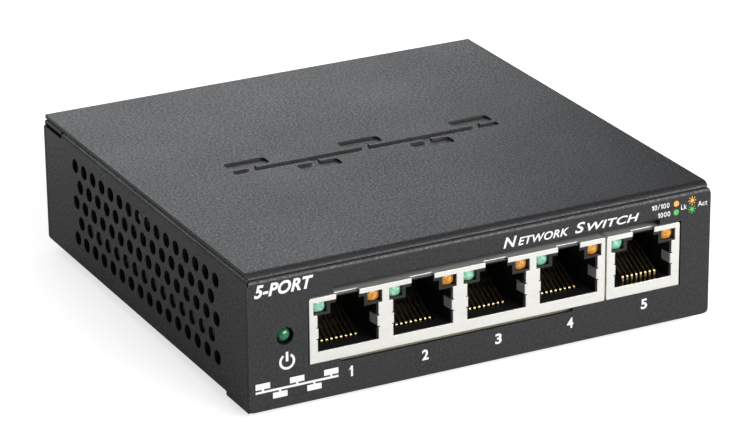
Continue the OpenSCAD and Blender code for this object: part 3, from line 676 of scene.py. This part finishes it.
black_plastic = speckled("black_moulding", (0.004, 0.004, 0.004), (0.014, 0.014, 0.015),
                         (0.34, 0.50), 2600.0, 180.0, 0.000012, 0.0001)
for moulding in ("port_housing_1_to_4", "port_housing_5", "jack_housing", "power_lamp_holder"):
    finish_node(moulding, black_plastic)

gold_flash = speckled("gold_flash", (0.26, 0.20, 0.10), (0.44, 0.34, 0.18), (0.26, 0.40),
                      2500.0, 500.0, 0.000004, metallic=1.0)
for number in range(1, 6):
    finish_node(f"port_contacts_{number}", gold_flash)
finish_node("jack_spring", gold_flash)


# --- Port shields ------------------------------------------------------------------------
# Stamped and folded from thin steel, plated with matte tin. Rolling leaves faint streaks
# along the strip and handling leaves duller clouds.

def tin_finish():
    """Streaks along the strip and clouds, in the colour and in the roughness."""
    material, tree, shader = new_material("matte_tin")
    place = tree.nodes.new("ShaderNodeTexCoord")
    stretch = tree.nodes.new("ShaderNodeMapping")
    stretch.inputs["Scale"].default_value = (80.0, 700.0, 1500.0)
    tree.links.new(place.outputs["Object"], stretch.inputs["Vector"])
    streaks = tree.nodes.new("ShaderNodeTexNoise")
    streaks.inputs["Scale"].default_value = 1.0
    streaks.inputs["Detail"].default_value = 4.0
    tree.links.new(stretch.outputs["Vector"], streaks.inputs["Vector"])
    clouds = tree.nodes.new("ShaderNodeTexNoise")
    clouds.inputs["Scale"].default_value = 900.0
    tree.links.new(place.outputs["Object"], clouds.inputs["Vector"])
    mixed = maths(tree, "ADD", maths(tree, "MULTIPLY", streaks.outputs["Fac"], 0.5),
                  maths(tree, "MULTIPLY", clouds.outputs["Fac"], 0.5))
    colour = mixed_colour(tree, ramp_between(tree, mixed, 0.3, 0.7),
                          (0.84, 0.83, 0.79, 1), (0.90, 0.89, 0.85, 1))
    tree.links.new(colour, shader.inputs["Base Color"])
    tree.links.new(maths(tree, "MULTIPLY_ADD", mixed, 0.12, 0.36), shader.inputs["Roughness"])
    shader.inputs["Metallic"].default_value = 0.7
    raise_surface(tree, shader, streaks.outputs["Fac"], 0.000003, edge_radius=0.00015)
    return material


matte_tin = tin_finish()
for shield in ("port_shield_1_to_4", "port_shield_5"):
    finish_node(shield, matte_tin)


# --- Lamps -------------------------------------------------------------------------------
# Each port has two lamps cast in tinted milky resin; the power lamp is clear dark green.

def lamp_resin(name, deep, pale, milky):
    """Tinted resin under a clear skin, its colour mottled deep to pale as painted reflections from
    facets inside; milky says how much light scatters inside.
    """
    material, tree, shader = new_material(name)
    # The mottle between deep and pale is a painted reflection of facets lit inside the lens.
    speck = group_node(tree, speckle_group, Grain_Scale=1300.0, Cloud_Scale=700.0,
                       Dark=(*deep, 1), Light=(*pale, 1), Rough_Low=0.08, Rough_High=0.2)
    tree.links.new(speck.outputs["Color"], shader.inputs["Base Color"])
    tree.links.new(speck.outputs["Roughness"], shader.inputs["Roughness"])
    shader.inputs["Subsurface Weight"].default_value = milky
    shader.inputs["Subsurface Radius"].default_value = (0.001, 0.001, 0.001)
    shader.inputs["Subsurface Scale"].default_value = 0.5
    shader.inputs["Coat Weight"].default_value = 0.6
    shader.inputs["Coat Roughness"].default_value = 0.06
    raise_surface(tree, shader, speck.outputs["Height"], 0.000004, edge_radius=0.00025)
    return material


green_resin = lamp_resin("pale_green_resin", (0.10, 0.34, 0.20), (0.44, 0.80, 0.60), 0.3)
amber_resin = lamp_resin("amber_resin", (0.40, 0.13, 0.01), (0.86, 0.46, 0.08), 0.3)
power_resin = lamp_resin("power_green_resin", (0.008, 0.07, 0.03), (0.02, 0.20, 0.09), 0.1)
for number in range(1, 6):
    for hue, resin in (("green", green_resin), ("amber", amber_resin)):
        finish_node(f"link_lamp_{hue}_{number}", resin)
        crown = nodes[f"link_lamp_{hue}_{number}"].modifiers.new("crown", "BEVEL")
        crown.width = 0.55 * mm
        crown.segments = 4
        crown.limit_method = "ANGLE"
        crown.angle_limit = math.radians(40)
finish_node("power_lamp", power_resin)


# --- Feet --------------------------------------------------------------------------------
# Soft black rubber, stuck to the floor of the tray, with a matte moulded skin.

foot_rubber = speckled("foot_rubber", (0.010, 0.010, 0.011), (0.024, 0.024, 0.025),
                       (0.75, 0.9), 1500.0, 150.0, 0.00003, 0.0002)
for number in range(1, 5):
    finish_node(f"rubber_foot_{number}", foot_rubber)


# --- Panel printing ----------------------------------------------------------------------
# Screen printed in white, with green and amber dots in the legend. The ink is a film a
# few hundredths of a millimetre thick that lies on the powder coat.

tray_low, tray_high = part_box("base_tray")
panel_y = tray_low[1]
rear_y = tray_high[1]
case_left = tray_low[0]
case_floor = tray_low[2]
film = 0.02 * mm


def ink(name, colour):
    """Matte ink with a trace of unevenness."""
    return speckled(name, tuple(0.86 * part for part in colour), colour, (0.45, 0.6),
                    5200.0, 300.0, 0.000006)


inks = {"white": ink("white_ink", (0.86, 0.86, 0.85)), "green": ink("green_ink", (0.10, 0.50, 0.10)),
        "amber": ink("amber_ink", (0.85, 0.45, 0.08))}
printed = {colour: bmesh.new() for colour in inks}


def stand_on_panel(mesh, colour, across, up):
    """Adds a flat mesh to the print, upright on the front, measured from its low left."""
    upright = Matrix.Translation((case_left + across * mm, panel_y - film, case_floor + up * mm))
    mesh.transform(upright @ Matrix.Rotation(math.radians(90), 4, "X"))
    printed[colour].from_mesh(mesh)
    bpy.data.meshes.remove(mesh)


def stand_on_rear(mesh, across, height):
    """Adds a flat mesh to the white print on the rear wall, centred on a place in the frame."""
    upright = Matrix.Translation((across, rear_y + film, height))
    mesh.transform(upright @ Matrix.Rotation(math.pi, 4, "Z") @ Matrix.Rotation(math.pi / 2, 4, "X"))
    printed["white"].from_mesh(mesh)
    bpy.data.meshes.remove(mesh)


def lettering(words, width, height, slant=0.0, weight=0.0):
    """Flat letters, fitted to a width and a height in metres, with their low left at 0."""
    curve = bpy.data.curves.new("lettering", "FONT")
    curve.body = words
    curve.offset = weight
    curve.shear = slant
    curve.extrude = 0.5
    curve.space_character = 1.05
    holder = bpy.data.objects.new("lettering", curve)
    bpy.context.scene.collection.objects.link(holder)
    mesh = bpy.data.meshes.new_from_object(
        holder.evaluated_get(bpy.context.evaluated_depsgraph_get()))
    bpy.data.objects.remove(holder)
    bpy.data.curves.remove(curve)
    xs = [vertex.co.x for vertex in mesh.vertices]
    ys = [vertex.co.y for vertex in mesh.vertices]
    size = Matrix.Diagonal((width / (max(xs) - min(xs)), height / (max(ys) - min(ys)), film, 1))
    mesh.transform(size @ Matrix.Translation((-min(xs), -min(ys), 0)))
    return mesh


def flat_outline(points):
    """A closed flat shape from its corners in millimetres, as thick as the ink."""
    shape = bmesh.new()
    face = shape.faces.new([shape.verts.new((x * mm, y * mm, -film / 2)) for x, y in points])
    raised = bmesh.ops.extrude_face_region(shape, geom=[face])
    bmesh.ops.translate(shape, vec=(0, 0, film),
                        verts=[part for part in raised["geom"]
                               if isinstance(part, bmesh.types.BMVert)])
    bmesh.ops.recalc_face_normals(shape, faces=shape.faces)
    mesh = bpy.data.meshes.new("outline")
    shape.to_mesh(mesh)
    shape.free()
    return mesh


def arc(radius, first, last, steps=40):
    """Points along an arc between two angles in degrees. Outlines are in millimetres."""
    angles = [math.radians(first + (last - first) * i / steps) for i in range(steps + 1)]
    return [(radius * math.cos(angle), radius * math.sin(angle)) for angle in angles]


def dot(radius):
    """A round dot."""
    return arc(radius, 0, 350, 35)


def ring(radius, line, first, last):
    """An arc with a line's width inside its radius."""
    return arc(radius, first, last) + arc(radius - line, last, first)


def bar(x0, y0, x1, y1):
    """A rectangle from two opposite corners."""
    return [(x0, y0), (x1, y0), (x1, y1), (x0, y1)]


def turned(points, degrees):
    """The outline turned about 0, against the clock."""
    cos, sin = math.cos(math.radians(degrees)), math.sin(math.radians(degrees))
    return [(x * cos - y * sin, x * sin + y * cos) for x, y in points]


def numeral_one(height):
    """A one with a flag, 0.42 of its height wide."""
    return [(x * height, y * height) for x, y in
            ((0.0, 0.62), (0.24, 1.0), (0.42, 1.0), (0.42, 0.0), (0.22, 0.0), (0.22, 0.72))]


def numerals(signs, across, up, height, weight):
    """Ones, noughts and strokes set side by side at their own widths."""
    widths = {"1": 0.42, "0": 0.60, "/": 0.40}
    for sign in signs:
        width = widths[sign] * height
        if sign == "1":
            mesh = flat_outline(numeral_one(height))
        else:
            mesh = lettering(sign, width * mm, height * mm, 0.0, weight)
        stand_on_panel(mesh, "white", across, up)
        across += width + 0.16 * height


# Words: left edge, foot, width and height in millimetres, then slant and weight
slant = 0.26
for words, across, up, width, height, lean, weight in (
        ("5-PORT", 1.3, 23.3, 12.2, 2.6, slant, 0.035),
        ("N", 53.7, 23.1, 2.9, 2.15, slant, 0.02), ("ETWORK", 56.9, 23.1, 11.1, 1.65, slant, 0.02),
        ("S", 69.4, 23.1, 2.2, 2.15, slant, 0.02), ("WITCH", 72.1, 23.1, 11.6, 1.65, slant, 0.02),
        ("Lk", 93.2, 23.5, 1.3, 1.05, 0.0, 0.01), ("Act", 97.0, 23.5, 2.2, 1.05, 0.0, 0.01)):
    stand_on_panel(lettering(words, width * mm, height * mm, lean, weight), "white", across, up)
numerals("10/100", 86.5, 24.5, 1.05, 0.01)
numerals("1000", 87.9, 22.7, 1.05, 0.01)

# Port numbers under the ports, just right of the middle; the 5 is printed a little higher
digit = 2.15
for number in range(1, 6):
    low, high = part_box(f"port_contacts_{number}")
    middle = ((low[0] + high[0]) / 2 - case_left) / mm + 0.4
    foot = 4.2 if number == 5 else 3.6
    if number == 1:
        stand_on_panel(flat_outline(numeral_one(digit)), "white", middle - 0.45, foot)
    else:
        stand_on_panel(lettering(str(number), 1.4 * mm, digit * mm, 0.0, 0.03), "white",
                       middle - 0.7, foot)

# Power sign under its lamp: an open ring with a bar
for outline in (ring(1.65, 0.5, 122, 418), bar(-0.26, 0.0, 0.26, 1.95)):
    stand_on_panel(flat_outline(outline), "white", 7.8, 9.5)

# Legend: a dot for a link and a dot with rays for traffic, amber above green
for colour, up in (("amber", 25.0), ("green", 23.2)):
    stand_on_panel(flat_outline(dot(0.6)), colour, 92.1, up)
    stand_on_panel(flat_outline(dot(0.42)), colour, 95.7, up)
    for turn in range(8):
        ray = turned(bar(0.56, -0.09, 0.9, 0.09), 45 * turn)
        stand_on_panel(flat_outline(ray), colour, 95.7, up)


def network_sign(length, line, box_width, box_height, stem):
    """Five boxes on one line, above and below it in turn: the cover's mark, in small."""
    shapes = [bar(-length / 2, -line / 2, length / 2, line / 2)]
    for i in range(5):
        middle = -length / 2 + box_width / 2 + i * (length - box_width) / 4
        side = 1 if i % 2 == 0 else -1
        near, far = sorted((side * line / 2, side * (line / 2 + stem)))
        shapes.append(bar(middle - line / 2, near, middle + line / 2, far))
        foot = side * (line / 2 + stem + box_height / 2)
        shapes.append(bar(middle - box_width / 2, foot - box_height / 2,
                          middle + box_width / 2, foot + box_height / 2))
    return shapes


for corners in network_sign(17.2, 0.45, 3.0, 1.2, 0.35):
    stand_on_panel(flat_outline(corners), "white", 9.8, 4.3)

# Rear wall: centre-positive sign over the inlet, earth sign over the ground screw
inlet_low, inlet_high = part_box("jack_housing")
inlet_x = (inlet_low[0] + inlet_high[0]) / 2
sign_height = inlet_high[2] + 2.2 * mm
for outline, shift in ((ring(1.0, 0.22, 40, 320), 0.0), (dot(0.38), 0.0),
                       (bar(0.3, -0.1, 2.1, 0.1), 0.0), (bar(-2.1, -0.1, -1.0, 0.1), 0.0),
                       (ring(0.75, 0.18, 0, 360), -2.85), (ring(0.75, 0.18, 0, 360), 2.85),
                       (bar(-0.4, -0.09, 0.4, 0.09), -2.85), (bar(-0.4, -0.09, 0.4, 0.09), 2.85),
                       (bar(-0.09, -0.4, 0.09, 0.4), 2.85)):
    stand_on_rear(flat_outline([(x + shift, y) for x, y in outline]), inlet_x, sign_height)
earth_low, earth_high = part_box("ground_screw")
earth_x = (earth_low[0] + earth_high[0]) / 2
for outline in (bar(-0.12, 0.4, 0.12, 1.5), bar(-1.1, 0.2, 1.1, 0.42), bar(-0.7, -0.3, 0.7, -0.08),
                bar(-0.3, -0.8, 0.3, -0.58), ring(1.9, 0.18, 0, 360)):
    stand_on_rear(flat_outline(outline), earth_x, earth_high[2] + 3.0 * mm)

for colour, material in inks.items():
    film_mesh = bpy.data.meshes.new(f"panel_print_{colour}")
    printed[colour].to_mesh(film_mesh)
    printed[colour].free()
    film_mesh.materials.clear()
    film_mesh.materials.append(material)
    piece = bpy.data.objects.new(f"panel_print_{colour}", film_mesh)
    bpy.context.scene.collection.objects.link(piece)
    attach(piece, "case")


# --- Studio ------------------------------------------------------------------------------
# A plain pale floor, soft panels of light, and the camera.

def light_panel(name, place, target, size, power, colour=(1, 1, 1)):
    """A soft rectangle of light that faces a target."""
    lamp = bpy.data.lights.new(name, "AREA")
    lamp.shape = "RECTANGLE"
    lamp.size, lamp.size_y = size
    lamp.energy = power
    lamp.color = colour
    holder = bpy.data.objects.new(name, lamp)
    holder.location = place
    facing = Vector(target) - Vector(place)
    holder.rotation_euler = facing.to_track_quat("-Z", "Y").to_euler()
    bpy.context.scene.collection.objects.link(holder)


# The floor has a glow that only the camera sees: it pales the floor and lights nothing
reach = 3.0
floor_mesh = bpy.data.meshes.new("floor")
floor_mesh.from_pydata([(-reach, -reach, 0), (reach, -reach, 0), (reach, reach, 0),
                        (-reach, reach, 0)], [], [(0, 1, 2, 3)])
floor = bpy.data.objects.new("floor", floor_mesh)
bpy.context.scene.collection.objects.link(floor)
floor_material, floor_tree, floor_shader = new_material("pale_floor")
floor_shader.inputs["Base Color"].default_value = (0.80, 0.80, 0.80, 1)
floor_shader.inputs["Roughness"].default_value = 0.9
floor_shader.inputs["Specular IOR Level"].default_value = 0.1
seen = floor_tree.nodes.new("ShaderNodeLightPath")
glow = maths(floor_tree, "MULTIPLY", seen.outputs["Is Camera Ray"], 0.7)
floor_shader.inputs["Emission Color"].default_value = (1, 1, 1, 1)
floor_tree.links.new(glow, floor_shader.inputs["Emission Strength"])
floor_mesh.materials.append(floor_material)

world = bpy.data.worlds.new("studio")
bpy.context.scene.world = world
world.use_nodes = True
background = world.node_tree.nodes["Background"]
background.inputs["Color"].default_value = (1, 1, 1, 1)
background.inputs["Strength"].default_value = 0.06

light_panel("rear_strip", (-0.01, 0.40, 0.19), (0, 0, 0.02), (0.60, 0.20), 0.74, (0.95, 0.98, 1.0))
light_panel("front", (0.30, -0.62, 0.34), (0, 0, 0.02), (0.9, 0.34), 8.0)
light_panel("overhead", (0.0, 0.1, 1.0), (0, 0, 0), (0.9, 0.9), 1.6)

aim = Vector((-3.9 * mm, -6.95 * mm, 16.3 * mm))
azimuth, elevation, roll = 26.84, 21.957, -0.637
distance = 0.710
lens = bpy.data.cameras.new("camera")
lens.lens = 175.3
lens.sensor_width = 36.0
lens.clip_start = 0.01
camera = bpy.data.objects.new("camera", lens)
camera.matrix_world = (
    Matrix.Translation(aim)
    @ Matrix.Rotation(math.radians(-azimuth), 4, "Z")
    @ Matrix.Rotation(math.radians(90 - elevation), 4, "X")
    @ Matrix.Rotation(math.radians(roll), 4, "Z")
    @ Matrix.Translation((0, 0, distance)))
bpy.context.scene.collection.objects.link(camera)
bpy.context.scene.camera = camera
bpy.context.scene.view_settings.view_transform = "Standard"
